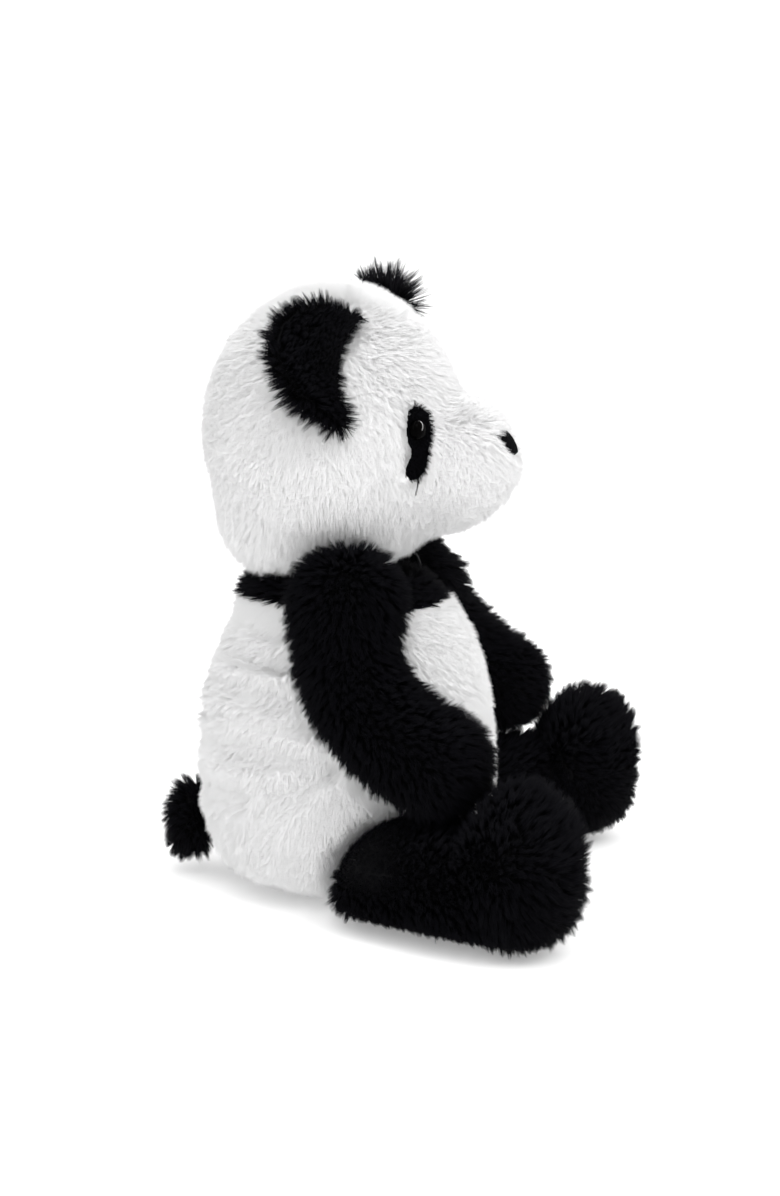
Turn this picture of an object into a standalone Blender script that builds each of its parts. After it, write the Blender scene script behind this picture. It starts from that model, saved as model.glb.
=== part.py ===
"""Sitting plush panda: sewn panels over fibre stuffing, safety eyes, and sewn-on limbs that move.

It faces -Y and sits on the floor plane z = 0. Lengths are in metres, angles in degrees.
Every cloth panel is a patch of a smooth form, given its thickness inwards. The fibre fills what is left.
"""

import math

import bmesh
import bpy
from mathutils import Vector

MM = 0.001

# Cloth and sewing
CLOTH = 3.0 * MM  # plush backing with the root of its pile
HALF_GAP = 0.17 * MM  # from a panel's edge to the seam line
FILL_DEPTH = CLOTH + 0.4 * MM  # the stuffing starts this far under the outer face
SEAT_ROOM = 3.0 * MM  # room between a limb and the hollow that it presses into the body
THREAD_RADIUS = 0.6 * MM

# Body: an egg that is flat where it sits and open at the neck
BODY_CENTRE = Vector((0, 19, 57)) * MM
BODY_HALF_WIDTH = 70 * MM
BODY_HALF_DEPTH = 71 * MM
BODY_UP, BODY_UP_POWER = 110 * MM, 2.35
BODY_DOWN, BODY_DOWN_POWER = 60 * MM, 3.0
SHOULDER_LEVEL = 157 * MM
SEAT_EDGE_ANGLE = -45
YOKE_ANGLE = 61
COLLAR_ANGLE = 74
SIDE_SEAM_ANGLE = 60  # from the middle of the belly

# Head: a round cranium with a muzzle
HEAD_CENTRE = Vector((0, 26, 228)) * MM
CRANIUM_HALF = Vector((72, 61, 69)) * MM
MUZZLE_OFFSET = Vector((0, -51, -15)) * MM
MUZZLE_HALF = Vector((34, 40, 30)) * MM
HEAD_BLEND_POWER = 14
GUSSET_ANGLE = 28  # the crown gusset's half width, seen from the head's centre
BROW_ANGLE = 32
NAPE_ANGLE = 180
NECK_ANGLES = (249, 291)
JAW_ANGLE = 328

# Neck
NECK_CENTRE = Vector((0, 23, 160)) * MM
NECK_RADIUS = 20 * MM
NECK_ROOM = 3.6 * MM
NECK_SEAM_RADIUS = 22.5 * MM
RING_SEGMENTS, RING_SIDES = 24, 6

# Face
EYE_PLACE = Vector((45, -49, 6)) * MM  # from the head's centre
EYE_RADIUS = 4.8 * MM
EYE_HEIGHT = 3.2 * MM
EYE_GAP = 0.4 * MM  # between the eye's back and the patch
SHANK_RADIUS = 1.5 * MM
SHANK_LENGTH = 8.6 * MM
SHANK_HOLE = 2.1 * MM
HOLE_REACH = (4 * MM, 6 * MM)  # the shank's hole, above and below the head's surface
WASHER_HOLE = 1.9 * MM
WASHER_RADIUS = 6.0 * MM
WASHER_THICK = 1.2 * MM
WASHER_DEPTH = 3.8 * MM
POCKET_RADIUS = 6.8 * MM
POCKET_REACH = (4 * MM, 9 * MM)
PATCH_THICK = 1.5 * MM
PATCH_LIFT = 1.8 * MM
PATCH_UP = 11 * MM  # the eye patch's reach from the eye, in four directions
PATCH_DOWN = 25 * MM
PATCH_REAR = 8.5 * MM
PATCH_FRONT = 11.0 * MM
PATCH_POWER = 2.4  # over 2, so that the lower end is blunt
NOSE_PLACE = Vector((0, -86, -4)) * MM  # from the head's centre
NOSE_HALF_WIDTH = 10.5 * MM
NOSE_HALF_HEIGHT = 7.5 * MM
NOSE_TAPER = 0.12  # how much wider it is above than at its middle
NOSE_THICK = 1.8 * MM
NOSE_LIFT = 0.5 * MM
NOSE_CROWN = 0.8 * MM

# Ears: cupped half discs on the upper sides of the head, swept back
EAR_RISE = 30
EAR_HALF_CHORD = 29 * MM
EAR_HEIGHT = 37 * MM
EAR_ROOT = 3 * MM  # the height that is left at the chord's ends
EAR_ROUND = 2.8  # power of the rim's outline
EAR_FRONT = 17.5 * MM  # the base's middle, ahead of the head's centre
EAR_BASE_CURVE = 5.5 * MM  # the base's ends, ahead of its middle
EAR_SWEEP = 44  # from straight out, towards the back
EAR_TOP_SWEEP = 26
EAR_LOW_SWEEP = 36
EAR_LEAN = 3 * MM
EAR_CLEAR = 5.8 * MM
EAR_HINGE_REACH = 68 * MM  # from the head's centre to the fold's line

# Limbs and tail
SHOULDER = Vector((60.5, 5, 152)) * MM
ELBOW = Vector((77, 9, 107)) * MM
PAW = Vector((86, -43, 85)) * MM
ARM_RADII = (24 * MM, 22.5 * MM, 24.5 * MM)
HIP = Vector((72, -20, 29)) * MM
LEG_HEADING = Vector((32, -80, 0)).normalized()
LEG_RADIUS = 28 * MM
HIP_SLANT = 10 * MM  # how far the hip end leans, forwards above and backwards below
HIP_SLANT_END = 28 * MM
FOOT_DISTANCE = 72.5 * MM
FOOT_HALF_LENGTH = 24.5 * MM
FOOT_HALF_WIDTH = 28 * MM
FOOT_HALF_HEIGHT = 39.5 * MM
FOOT_LEVEL = 41 * MM
SOLE_START = 83 * MM
FLOOR_GAP = 0.8 * MM
TAIL_CENTRE = Vector((0, 100.6, 27.5)) * MM
TAIL_HALF = Vector((18, 10.6, 20)) * MM
TAIL_JOINT = Vector((0, 89.3, 27.5)) * MM

# Where the limbs press into the body and how they are sewn on
ARM_PRESS = (0.0, 0.75, 6)  # share of the arm's line from and to, and how many steps
LEG_PRESS = (4 * MM, 30 * MM, 3)
HIP_PRESS = (-7 * MM, 8 * MM, 28 * MM)  # the hollow for the slanted end: along, down and radius
SHOULDER_SEAM_CLEAR = 1.4 * MM
SHOULDER_SEAM_OFFSET = 0.83  # of the seam's own ball radius, towards the body

SIDES = {"left": 1, "right": -1}

COLOURS = {
    "white_plush": ((0.86, 0.85, 0.83, 1), 0.95),
    "black_plush": ((0.012, 0.012, 0.015, 1), 0.9),
    "short_plush": ((0.010, 0.010, 0.012, 1), 0.85),
    "nose_thread": ((0.008, 0.008, 0.009, 1), 0.4),
    "eye_plastic": ((0.004, 0.004, 0.004, 1), 0.06),
    "washer_plastic": ((0.80, 0.80, 0.78, 1), 0.4),
    "fibre": ((0.90, 0.90, 0.88, 1), 1.0),
    "seam_thread": ((0.03, 0.03, 0.03, 1), 0.6),
}


def clear_scene():
    for thing in list(bpy.data.objects):
        bpy.data.objects.remove(thing, do_unlink=True)


def material(slot):
    found = bpy.data.materials.get(slot)
    if found:
        return found
    colour, roughness = COLOURS[slot]
    made = bpy.data.materials.new(slot)
    made.use_nodes = True
    shader = made.node_tree.nodes["Principled BSDF"]
    shader.inputs["Base Color"].default_value = colour
    shader.inputs["Roughness"].default_value = roughness
    shader.inputs["Metallic"].default_value = 0.0
    made.diffuse_color = colour
    return made


def new_object(name, mesh_builder, slot, origin):
    """An object whose mesh is told in world coordinates and whose origin is moved to its joint."""
    bmesh.ops.remove_doubles(mesh_builder, verts=mesh_builder.verts, dist=1e-7)
    bmesh.ops.dissolve_degenerate(mesh_builder, edges=mesh_builder.edges, dist=1e-7)
    bmesh.ops.recalc_face_normals(mesh_builder, faces=mesh_builder.faces)
    bmesh.ops.translate(mesh_builder, verts=mesh_builder.verts, vec=-origin)
    mesh = bpy.data.meshes.new(name)
    mesh_builder.to_mesh(mesh)
    mesh_builder.free()
    mesh.shade_smooth()
    mesh.set_sharp_from_angle(angle=math.radians(40))
    mesh.materials.append(material(slot))
    thing = bpy.data.objects.new(name, mesh)
    thing.location = origin
    bpy.context.scene.collection.objects.link(thing)
    return thing


def spread(start, end, count):
    return [start + (end - start) * i / count for i in range(count + 1)]


def direction(up_angle, round_angle, pole="Z"):
    """Unit vector. Pole Z: round_angle runs from -Y towards +X. Pole X: it runs from -Y up over +Z."""
    rise, turn = math.radians(up_angle), math.radians(round_angle)
    if pole == "Z":
        return Vector(
            (math.cos(rise) * math.sin(turn), -math.cos(rise) * math.cos(turn), math.sin(rise))
        )
    return Vector(
        (math.sin(rise), -math.cos(rise) * math.cos(turn), math.cos(rise) * math.sin(turn))
    )


# --- Cloth and stuffing from a surface: surface(row, column, depth) gives a point ---


def draw_in(grid, wrap):
    """Moves the edge points of a grid of points half a gap away from the seam line."""
    rows, cols = len(grid), len(grid[0])
    moves = {}
    for r in range(rows):
        for c in range(cols):
            inner_r = 1 if r == 0 else rows - 2 if r == rows - 1 else r
            inner_c = c if wrap else 1 if c == 0 else cols - 2 if c == cols - 1 else c
            shift = Vector()
            for target in (grid[inner_r][c], grid[r][inner_c]):
                step = target - grid[r][c]
                if step.length > 1e-6:
                    shift += step.normalized() * HALF_GAP
            moves[r, c] = shift
    return [[grid[r][c] + moves[r, c] for c in range(cols)] for r in range(rows)]


def add_sheet(mesh_builder, grid, wrap):
    """Vertices and triangles of one grid; gives the vertices back row by row."""
    verts = [[mesh_builder.verts.new(p) for p in row] for row in grid]
    cols = len(grid[0])
    last = cols if wrap else cols - 1
    for r in range(len(grid) - 1):
        for c in range(last):
            d = (c + 1) % cols
            a, b = verts[r][c], verts[r][d]
            e, f = verts[r + 1][d], verts[r + 1][c]
            mesh_builder.faces.new((a, b, e))
            mesh_builder.faces.new((a, e, f))
    return verts


def add_wall(mesh_builder, outer, inner):
    for a, b, c, d in zip(outer, outer[1:], inner[1:], inner):
        mesh_builder.faces.new((a, b, c))
        mesh_builder.faces.new((a, c, d))


def panel(name, surface, rows, cols, slot, origin, wrap=False, pole=None, thick=CLOTH, lift=0.0):
    """A cloth panel over rows x cols. pole is the row (0 or -1) that closes to one point, if any."""
    sheets = []
    for depth in (-lift, thick - lift):
        grid = [[surface(r, c, depth) for c in cols] for r in rows]
        drawn = draw_in(grid, wrap)
        if pole is not None:
            drawn[pole] = grid[pole]
        sheets.append(drawn)
    mesh_builder = bmesh.new()
    outer, inner = (add_sheet(mesh_builder, grid, wrap) for grid in sheets)
    for edge in (0, -1):
        if pole != edge:
            loop = (outer[edge], inner[edge])
            if wrap:
                loop = tuple(line + line[:1] for line in loop)
            add_wall(mesh_builder, *loop)
        if not wrap:
            add_wall(mesh_builder, [row[edge] for row in outer], [row[edge] for row in inner])
    return new_object(name, mesh_builder, slot, origin)


def stuffing(name, surface, rows, cols, origin, depth=FILL_DEPTH):
    """The closed form that fills a surface; its first and last rows are its poles."""
    mesh_builder = bmesh.new()
    add_sheet(mesh_builder, [[surface(r, c, depth) for c in cols] for r in rows], wrap=True)
    return new_object(name, mesh_builder, "fibre", origin)


# --- Forms ---


def ball_entry(start, heading, centre, radius):
    """How far from start along heading a ray meets a ball; None if it misses it."""
    to_ball = centre - start
    along = to_ball.dot(heading)
    square = along * along - to_ball.length_squared + radius * radius
    if square <= 0 or along <= 0:
        return None
    return along - math.sqrt(square)


def mirrored(point, side):
    return Vector((point.x * side, point.y, point.z))


def scaled(vector, halves):
    return Vector((vector.x / halves.x, vector.y / halves.y, vector.z / halves.z))


def arm_centre(t):
    """The arm's centre line on the left: from the shoulder round the elbow to the paw."""
    return SHOULDER * (1 - t) ** 2 + ELBOW * 2 * t * (1 - t) + PAW * t * t


def arm_radius(t):
    shoulder, elbow, paw = ARM_RADII
    return shoulder * (1 - t) ** 2 + elbow * 2 * t * (1 - t) + paw * t * t


def pressing_balls():
    """Balls that stand for the limbs where they press into the body: centre and radius."""
    balls = [(NECK_CENTRE, NECK_RADIUS + NECK_ROOM)]
    for side in SIDES.values():
        for t in spread(*ARM_PRESS):
            balls.append((mirrored(arm_centre(t), side), arm_radius(t) + SEAT_ROOM))
        for along in spread(*LEG_PRESS):
            centre = HIP + LEG_HEADING * along
            balls.append((mirrored(centre, side), LEG_RADIUS + SEAT_ROOM))
        along, down, radius = HIP_PRESS
        centre = HIP + LEG_HEADING * along - Vector((0, 0, down))
        balls.append((mirrored(centre, side), radius))
    return balls


BALLS = pressing_balls()


def body_reach(heading):
    across = math.hypot(heading.x / BODY_HALF_WIDTH, heading.y / BODY_HALF_DEPTH)
    height, power = (
        (BODY_UP, BODY_UP_POWER) if heading.z > 0 else (BODY_DOWN, BODY_DOWN_POWER)
    )
    reach = (across**power + abs(heading.z / height) ** power) ** (-1 / power)
    for centre, radius in BALLS:
        entry = ball_entry(BODY_CENTRE, heading, centre, radius)
        if entry is not None:
            reach = min(reach, entry)
    return reach


def body_surface(up_angle, round_angle, depth):
    """The egg, cut level depth inside the seat and the shoulders."""
    heading = direction(up_angle, round_angle)
    reach = body_reach(heading) - depth
    if heading.z > 0:
        reach = min(reach, (SHOULDER_LEVEL - BODY_CENTRE.z - depth) / heading.z)
    if heading.z < 0:
        reach = min(reach, (BODY_CENTRE.z - depth) / -heading.z)
    return BODY_CENTRE + heading * reach


def head_reach(heading):
    cranium = 1 / scaled(heading, CRANIUM_HALF).length
    h, o = scaled(heading, MUZZLE_HALF), scaled(MUZZLE_OFFSET, MUZZLE_HALF)
    along = o.dot(h)
    square = along * along - h.length_squared * (o.length_squared - 1)
    muzzle = (along + math.sqrt(square)) / h.length_squared if square > 0 and along > 0 else 0
    return (cranium**HEAD_BLEND_POWER + muzzle**HEAD_BLEND_POWER) ** (1 / HEAD_BLEND_POWER)


def head_surface(up_angle, round_angle, depth):
    return head_point(direction(up_angle, round_angle, "X"), depth)


def head_point(heading, depth):
    """The head's surface, hollowed by the neck's ball where depth reaches the stuffing."""
    reach = head_reach(heading) - depth
    entry = ball_entry(HEAD_CENTRE, heading, NECK_CENTRE, NECK_RADIUS + NECK_ROOM)
    if entry is not None:
        reach = min(reach, entry - max(depth - CLOTH, 0))
    return HEAD_CENTRE + heading * reach


# --- Assemblies ---


def build_body():
    low = spread(SEAT_EDGE_ANGLE, YOKE_ANGLE, 12)
    high = [YOKE_ANGLE, 66, 70, COLLAR_ANGLE]
    step = 10
    front = [a for a in range(-SIDE_SEAM_ANGLE, SIDE_SEAM_ANGLE + 1, step)]
    left_back = [a for a in range(SIDE_SEAM_ANGLE, 181, step)]
    right_back = [a for a in range(180, 361 - SIDE_SEAM_ANGLE, step)]
    around = [a for a in range(0, 360, step)]
    here = BODY_CENTRE
    panel("belly_panel", body_surface, low, front, "white_plush", here)
    panel("back_panel_left", body_surface, low, left_back, "white_plush", here)
    panel("back_panel_right", body_surface, low, right_back, "white_plush", here)
    panel("yoke_front", body_surface, high, front, "black_plush", here)
    panel("yoke_back_left", body_surface, high, left_back, "black_plush", here)
    panel("yoke_back_right", body_surface, high, right_back, "black_plush", here)
    seat = [-90, -72, -57, -50, SEAT_EDGE_ANGLE]
    panel("seat_panel", body_surface, seat, around, "white_plush", here, wrap=True, pole=0)
    stuffing("body_stuffing", body_surface, seat + low[1:] + high[1:] + [80, 90], around, here)


def build_neck():
    mesh_builder = bmesh.new()
    bmesh.ops.create_uvsphere(mesh_builder, u_segments=16, v_segments=8, radius=NECK_RADIUS)
    bmesh.ops.translate(mesh_builder, verts=mesh_builder.verts, vec=NECK_CENTRE)
    new_object("neck_stuffing", mesh_builder, "fibre", NECK_CENTRE)
    ring("neck_seam", NECK_CENTRE, NECK_SEAM_RADIUS, Vector((0, 0, 1)), NECK_CENTRE)


def ring(name, centre, radius, axis, origin, thread=THREAD_RADIUS):
    """A ring of thread with its stitches' thickness, square to axis."""
    turn = axis.to_track_quat("Z", "Y")
    mesh_builder = bmesh.new()
    loops = []
    for i in range(RING_SEGMENTS):
        a = 2 * math.pi * i / RING_SEGMENTS
        out = Vector((math.cos(a), math.sin(a), 0))
        loop = []
        for j in range(RING_SIDES):
            b = 2 * math.pi * j / RING_SIDES
            point = out * (radius + thread * math.cos(b)) + Vector((0, 0, thread * math.sin(b)))
            loop.append(mesh_builder.verts.new(centre + turn @ point))
        loops.append(loop)
    for i in range(RING_SEGMENTS):
        for j in range(RING_SIDES):
            k, m = (i + 1) % RING_SEGMENTS, (j + 1) % RING_SIDES
            mesh_builder.faces.new((loops[i][j], loops[k][j], loops[k][m], loops[i][m]))
    return new_object(name, mesh_builder, "seam_thread", origin)


def build_head():
    here = NECK_CENTRE
    across = spread(-GUSSET_ANGLE, GUSSET_ANGLE, 8)
    halves = {"right": across[:5], "left": across[4:]}
    crown = spread(BROW_ANGLE, NAPE_ANGLE, 10)
    back = spread(NAPE_ANGLE, NECK_ANGLES[0], 5)
    jaw = spread(NECK_ANGLES[1], JAW_ANGLE, 3)
    muzzle = spread(JAW_ANGLE, 360 + BROW_ANGLE, 10)
    neck = spread(NECK_ANGLES[0], NECK_ANGLES[1], 3)
    panel("head_gusset", head_surface, across, crown, "white_plush", here)
    panel("head_back", head_surface, across, back, "white_plush", here)
    panel("chin_panel", head_surface, across, jaw, "white_plush", here)
    around = crown + back[1:] + neck[1:] + jaw[1:] + muzzle[1:-1]
    outward = [GUSSET_ANGLE, 38, 48, 59, 70, 80, 90]
    inward = [-a for a in reversed(outward)]
    caps = {"right": (inward, 0), "left": (outward, -1)}
    for name, (rows, pole) in caps.items():
        panel("muzzle_" + name, head_surface, halves[name], muzzle, "white_plush", here)
        panel("head_side_" + name, head_surface, rows, around, "white_plush", here, wrap=True, pole=pole)
    rows = inward + across[1:-1] + outward
    stuffing("head_stuffing", head_surface, rows, around, here)


def face_frame(place):
    """A point on the head's surface with its normal, a sideways and an upward tangent."""
    heading = place.normalized()
    point = head_point(heading, 0)
    step = 0.5 * MM
    side = Vector((0, 0, 1)).cross(heading).normalized()
    up = heading.cross(side)
    a = head_point((place + side * step).normalized(), 0) - point
    b = head_point((place + up * step).normalized(), 0) - point
    normal = a.cross(b).normalized()
    side = Vector((0, 0, 1)).cross(normal).normalized()
    return point, normal, side, normal.cross(side)


def patch_on_head(name, place, outline, inner_radius, thick, lift, slot, crown=0.0):
    """A piece that lies on the head: rings about place, out to outline(angle), with a crowned top."""
    point, normal, side, up = face_frame(place)
    angles = spread(0, 360, 28)[:-1]

    def surface(share, angle, depth):
        turn = math.radians(angle)
        radius = inner_radius + (outline(angle) - inner_radius) * share
        at = point + (side * math.cos(turn) + up * math.sin(turn)) * radius
        outer = depth < -lift - thick / 2
        rise = crown * math.sqrt(max(0.0, 1 - share * share)) if outer else 0
        return head_point((at - HEAD_CENTRE).normalized(), depth - rise)

    pole = 0 if inner_radius == 0 else None
    return panel(
        name, surface, spread(0, 1, 3), angles, slot, NECK_CENTRE, wrap=True, pole=pole,
        thick=thick, lift=thick + lift,
    )


def eye_patch_outline(side):
    """A drop that reaches further ahead of the eye than behind it, and furthest below it."""

    def outline(angle):
        turn = math.radians(angle)
        back, up = side * math.cos(turn), math.sin(turn)
        reach_along = PATCH_REAR if back > 0 else PATCH_FRONT
        reach_up = PATCH_UP if up > 0 else PATCH_DOWN
        total = abs(back / reach_along) ** PATCH_POWER + abs(up / reach_up) ** PATCH_POWER
        return total ** (-1 / PATCH_POWER)

    return outline


def nose_outline(angle):
    """A rounded triangle: broad above, narrow below."""
    turn = math.radians(angle)
    width = NOSE_HALF_WIDTH * (1 + NOSE_TAPER * math.sin(turn))
    return 1 / math.hypot(math.cos(turn) / width, math.sin(turn) / NOSE_HALF_HEIGHT)


def turned(profile, point, normal, segments):
    """A solid of revolution about a normal: profile holds (radius, height) pairs."""
    turn = normal.to_track_quat("Z", "Y")
    grid = []
    for radius, height in profile:
        row = []
        for i in range(segments):
            a = 2 * math.pi * i / segments
            row.append(point + turn @ Vector((radius * math.cos(a), radius * math.sin(a), height)))
        grid.append(row)
    mesh_builder = bmesh.new()
    add_sheet(mesh_builder, grid, wrap=True)
    return mesh_builder


def cut_round(thing, point, normal, radius, top, bottom, segments=20):
    """Cuts a round hole along a normal, from top above the point to bottom below it."""
    profile = [(0, -bottom), (radius, -bottom), (radius, top), (0, top)]
    cutter = new_object("cutter_" + thing.name, turned(profile, point, normal, segments), "fibre", point)
    cutter.hide_render = True
    cutter.display_type = "WIRE"
    hole = thing.modifiers.new("hole", "BOOLEAN")
    hole.operation = "DIFFERENCE"
    hole.solver = "EXACT"
    hole.object = cutter


def build_face():
    for name, side in SIDES.items():
        place = mirrored(EYE_PLACE, side)
        point, normal, _, _ = face_frame(place)
        patch_on_head(
            "eye_patch_" + name, place, eye_patch_outline(side), SHANK_HOLE, PATCH_THICK, PATCH_LIFT,
            "short_plush",
        )
        base = point + normal * (PATCH_LIFT + PATCH_THICK + EYE_GAP)
        dome = [
            (EYE_RADIUS * math.cos(math.radians(a)), EYE_HEIGHT * math.sin(math.radians(a)))
            for a in (0, 22, 45, 67, 90)
        ]
        shank = [(0, -SHANK_LENGTH), (SHANK_RADIUS, -SHANK_LENGTH), (SHANK_RADIUS, 0)]
        eye = turned(shank + dome, base, normal, 16)
        new_object("eye_" + name, eye, "eye_plastic", NECK_CENTRE)
        washer = [
            (WASHER_HOLE, -WASHER_THICK),
            (WASHER_RADIUS, -WASHER_THICK),
            (WASHER_RADIUS, 0),
            (WASHER_HOLE, 0),
            (WASHER_HOLE, -WASHER_THICK),
        ]
        lock = turned(washer, point - normal * WASHER_DEPTH, normal, 20)
        new_object("eye_washer_" + name, lock, "washer_plastic", NECK_CENTRE)
        cut_round(bpy.data.objects["head_side_" + name], point, normal, SHANK_HOLE, *HOLE_REACH)
        cut_round(bpy.data.objects["head_stuffing"], point, normal, POCKET_RADIUS, *POCKET_REACH)
    patch_on_head(
        "nose", NOSE_PLACE, nose_outline, 0, NOSE_THICK, NOSE_LIFT, "nose_thread", crown=NOSE_CROWN
    )


def ear_axes(side):
    """Straight out from the head at the ear, and up along the ear's chord."""
    rise = math.radians(EAR_RISE)
    out = Vector((side * math.cos(rise), 0, math.sin(rise)))
    chord = Vector((-side * math.sin(rise), 0, math.cos(rise)))
    return out, chord


def ear_surface(side, layer):
    """Cupped half disc: row runs from the head to the rim 0..1, column along the chord -1..1."""
    out, chord = ear_axes(side)
    back = Vector((0, 1, 0))

    def sheet(far, col):
        at = chord * EAR_HALF_CHORD * col - back * (EAR_FRONT + EAR_BASE_CURVE * col * col)
        q, p = scaled(out, CRANIUM_HALF), scaled(at, CRANIUM_HALF)
        b, c = p.dot(q), p.length_squared - 1
        base = (-b + math.sqrt(b * b - q.length_squared * c)) / q.length_squared
        end_sweep = EAR_TOP_SWEEP if col > 0 else EAR_LOW_SWEEP
        sweep = math.radians(EAR_SWEEP + (end_sweep - EAR_SWEEP) * col * col)
        away = out * math.cos(sweep) + back * math.sin(sweep)
        lean = back * (-EAR_LEAN * (far / EAR_HEIGHT) ** 2)
        return HEAD_CENTRE + at + out * (base + EAR_CLEAR) + away * far + lean

    def surface(row, col, depth):
        far = (EAR_HEIGHT * (1 - abs(col) ** EAR_ROUND) ** 0.5 + EAR_ROOT) * row
        e, step = 0.02, 0.5 * MM
        a = sheet(far + step, col) - sheet(far - step, col)
        b = sheet(far, col + e) - sheet(far, col - e)
        normal = a.cross(b).normalized()
        if normal.y > 0:
            normal = -normal
        return sheet(far, col) + normal * (layer * (HALF_GAP + depth))

    return surface


def ear_hinge(side):
    return HEAD_CENTRE + ear_axes(side)[0] * EAR_HINGE_REACH - Vector((0, EAR_FRONT, 0))


def build_ears():
    rows = spread(0, 1, 4)
    cols = [-1, -0.86, -0.6, -0.3, 0, 0.3, 0.6, 0.86, 1]
    for name, side in SIDES.items():
        hinge = ear_hinge(side)
        for layer_name, layer in (("front", 1), ("back", -1)):
            panel(f"ear_{name}_{layer_name}", ear_surface(side, layer), rows, cols, "black_plush", hinge)


def arm_surface(side):
    """Tube on the arm's centre line with round ends.

    Rows are (share of the line, angle): the angle runs from -90 at the shoulder's pole over 0 along the
    tube to 90 at the paw's pole.
    """

    def surface(row, col, depth):
        t, angle = row
        tip, width = math.sin(math.radians(angle)), math.cos(math.radians(angle))
        e = 0.01
        along = (arm_centre(min(t + e, 1)) - arm_centre(max(t - e, 0))).normalized()
        outward = Vector((1, 0, 0))
        outward = (outward - along * outward.dot(along)).normalized()
        ahead = along.cross(outward)
        radius = arm_radius(t) - depth
        turn = math.radians(col)
        ray = (outward * math.cos(turn) + ahead * math.sin(turn)) * width + along * tip
        return mirrored(arm_centre(t) + ray * radius, side)

    return surface


def build_arms():
    shoulder_end = [(0, angle) for angle in (-84, -60, -40, -20)]
    paw_end = [(1, angle) for angle in (20, 40, 60, 84)]
    rows = shoulder_end + [(t, 0) for t in (0, 0.14, 0.28, 0.42, 0.56, 0.7, 0.84, 1)] + paw_end
    outer, inner = spread(-90, 90, 7), spread(90, 270, 7)
    for name, side in SIDES.items():
        here = mirrored(SHOULDER, side)
        surface = arm_surface(side)
        panel(f"arm_{name}_outer", surface, rows, outer, "black_plush", here)
        panel(f"arm_{name}_inner", surface, rows, inner, "black_plush", here)
        stuffing(
            "arm_stuffing_" + name, surface, [(0, -90)] + rows[1:-1] + [(1, 90)], outer + inner[1:-1], here
        )
        seam_radius = ARM_RADII[0] + SHOULDER_SEAM_CLEAR
        offset = SHOULDER_SEAM_OFFSET * seam_radius
        centre = mirrored(SHOULDER - Vector((offset, 0, 0)), side)
        ring_radius = math.sqrt(seam_radius**2 - offset**2)
        ring("shoulder_seam_" + name, centre, ring_radius, Vector((1, 0, 0)), here)


def leg_section(along):
    """Top, bottom and half width of the leg and its upright foot at a distance from the hip."""
    round_hip = math.sqrt(max(0.0, 1 - (min(along, 0) / LEG_RADIUS) ** 2))
    leg = LEG_RADIUS * round_hip
    top, bottom, half_width = HIP.z + leg, HIP.z - leg, leg
    part_foot = (along - FOOT_DISTANCE) / FOOT_HALF_LENGTH
    if abs(part_foot) < 1:
        share = math.sqrt(1 - part_foot**2)
        foot_top = FOOT_LEVEL + FOOT_HALF_HEIGHT * share
        foot_bottom = FOOT_LEVEL - FOOT_HALF_HEIGHT * share
        foot_width = FOOT_HALF_WIDTH * share
        if along > FOOT_DISTANCE:
            top, bottom, half_width = foot_top, foot_bottom, foot_width
        else:
            top, bottom = max(top, foot_top), min(bottom, foot_bottom)
            half_width = max(half_width, foot_width)
    elif along >= FOOT_DISTANCE:
        top = bottom = FOOT_LEVEL
        half_width = 0.0
    return top, bottom, half_width


def leg_surface(side):
    """Rows are distances from the hip along the leg; columns are angles about it, 0 outwards."""
    across = Vector((-LEG_HEADING.y, LEG_HEADING.x, 0))

    def surface(row, col, depth):
        length = FOOT_DISTANCE + FOOT_HALF_LENGTH + LEG_RADIUS
        shrink = 2 * depth / length
        along = (row - length / 2 + LEG_RADIUS) * (1 - shrink) + length / 2 - LEG_RADIUS
        top, bottom, half_width = leg_section(row)
        middle, half = (top + bottom) / 2, (top - bottom) / 2
        under = min(depth, half)
        turn = math.radians(col)
        rise = math.sin(turn) * (half - under)
        out = math.cos(turn) * max(half_width - under, 0.0)
        level = max(middle + rise, FLOOR_GAP + depth)
        fade = 1 - min(max(row / HIP_SLANT_END, 0), 1)
        along += HIP_SLANT * fade * (level - HIP.z) / LEG_RADIUS
        point = Vector((HIP.x, HIP.y, level)) + LEG_HEADING * along + across * out
        return mirrored(point, side)

    return surface


def build_legs():
    hip_end = [-27.2 * MM, -23 * MM, -16 * MM, -8 * MM]
    shaft = [0, 14 * MM, 28 * MM, 40 * MM, 49 * MM]
    foot = [53 * MM, 59 * MM, 66 * MM, 74 * MM, SOLE_START]
    sole = [SOLE_START, 88 * MM, 92.5 * MM, 95.3 * MM, FOOT_DISTANCE + FOOT_HALF_LENGTH]
    outer, inner = spread(-90, 90, 7), spread(90, 270, 7)
    around = outer + inner[1:-1]
    rows = hip_end + shaft + foot
    for name, side in SIDES.items():
        here = mirrored(HIP, side)
        surface = leg_surface(side)
        panel(f"leg_{name}_outer", surface, rows, outer, "black_plush", here)
        panel(f"leg_{name}_inner", surface, rows, inner, "black_plush", here)
        panel("foot_sole_" + name, surface, sole, around, "black_plush", here, wrap=True, pole=-1)
        ends = [-LEG_RADIUS] + rows[1:] + sole[1:]
        stuffing("leg_stuffing_" + name, surface, ends, around, here)


def tail_surface(row, col, depth):
    heading = direction(row, col, "Z")
    heading.y, heading.z = heading.z, heading.y
    return TAIL_CENTRE + heading * (1 / scaled(heading, TAIL_HALF).length - depth)


def build_tail():
    here = TAIL_JOINT
    rows = [-84, -60, -36, -12, 12, 36, 60, 84]
    upper, lower = spread(90, 270, 6), spread(-90, 90, 6)
    panel("tail_upper", tail_surface, rows, upper, "black_plush", here)
    panel("tail_lower", tail_surface, rows, lower, "black_plush", here)
    stuffing("tail_stuffing", tail_surface, [-90] + rows[1:-1] + [90], lower + upper[1:-1], here)


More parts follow.
